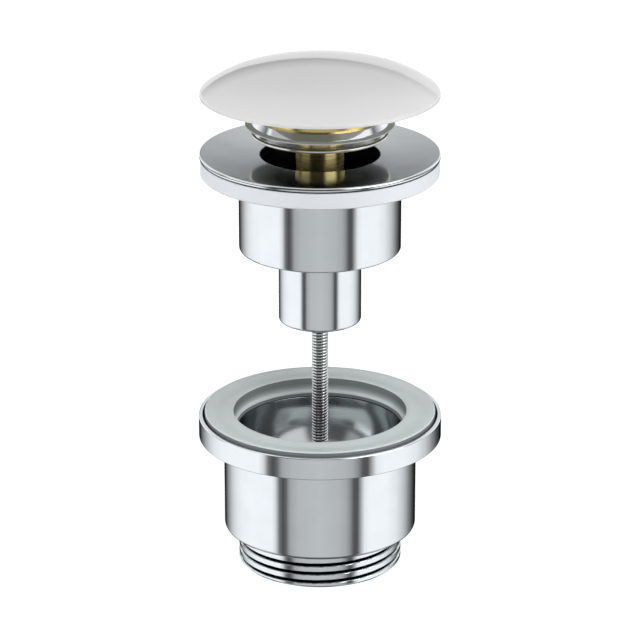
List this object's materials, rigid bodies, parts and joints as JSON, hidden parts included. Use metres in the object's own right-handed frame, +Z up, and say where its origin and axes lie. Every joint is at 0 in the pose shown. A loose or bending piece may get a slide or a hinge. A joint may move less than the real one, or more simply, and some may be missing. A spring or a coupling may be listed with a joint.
{
  "type": "basin waste",
  "caption": "Click basin waste: ceramic-capped plug in a flanged insert, drawn by a long screw towards a recessed body with a threaded tail.",
  "frame": {"origin": "centre of the tail's end face, on the waste's axis", "axes": "+Z up along the waste's axis, from the threaded tail to the plug; the front of the picture is seen along +Y"},
  "size_m": [0.0621, 0.062, 0.1329],
  "materials": {
    "ceramic": "gloss white glaze",
    "chrome": "bright chrome plate",
    "satin_chrome": "satin chrome plate",
    "brass": "turned, unplated",
    "white_rubber": "matt white",
    "grey_rubber": "matt grey",
    "seal_rubber": "matt dark grey",
    "steel": "bright stainless",
    "spring_steel": "drawn wire",
    "white_plastic": "moulded",
    "black_plastic": "moulded"
  },
  "bodies": {
    "lower_body": {"waste_body": "chrome", "anchor_bush": "brass", "basin_gasket": "grey_rubber"},
    "insert": {"top_flange": "satin_chrome", "flange_gasket": "white_rubber", "barrel_cup": "chrome", "cartridge_sleeve": "chrome", "stem_guide": "black_plastic", "guide_circlip": "spring_steel", "screw_seal": "seal_rubber", "screw_washer": "steel", "click_spring": "spring_steel"},
    "screw": {"clamp_screw": "steel"},
    "plug": {"ceramic_cap": "ceramic", "backing_disc": "brass", "plug_plate": "chrome", "plug_seal": "seal_rubber", "spacer_collar": "brass", "lower_disc": "satin_chrome", "seat_washer": "brass", "plug_stem": "brass", "index_pin": "steel", "spring_cup": "white_plastic"},
    "click_ring": {"index_ring": "black_plastic"}
  },
  "joints": [
    {"name": "clamp_slide", "type": "slide", "parent": "lower_body", "child": "insert", "axis": [0, 0, 1], "range_m": [-0.049, 0]},
    {"name": "clamp_screw_turn", "type": "hinge", "parent": "insert", "child": "screw", "pos_m": [0, 0, 0.06975], "axis": [0, 0, 1], "range_deg": [-22050, 0]},
    {"name": "plug_press", "type": "slide", "parent": "insert", "child": "plug", "axis": [0, 0, 1], "range_m": [-0.0048, 0], "stiffness_N_per_m": 700, "springref_m": 0.012, "deforming": ["click_spring"]},
    {"name": "click_ring_turn", "type": "hinge", "parent": "insert", "child": "click_ring", "pos_m": [0, 0, 0.0893], "axis": [0, 0, 1], "range_deg": [0, 45]}
  ],
  "couplings": [
    {"joint": "clamp_screw_turn", "follows": "clamp_slide", "rad_per_m": 7854},
    {"joint": "click_ring_turn", "follows": "plug_press", "rad_per_m": -163.62}
  ]
}
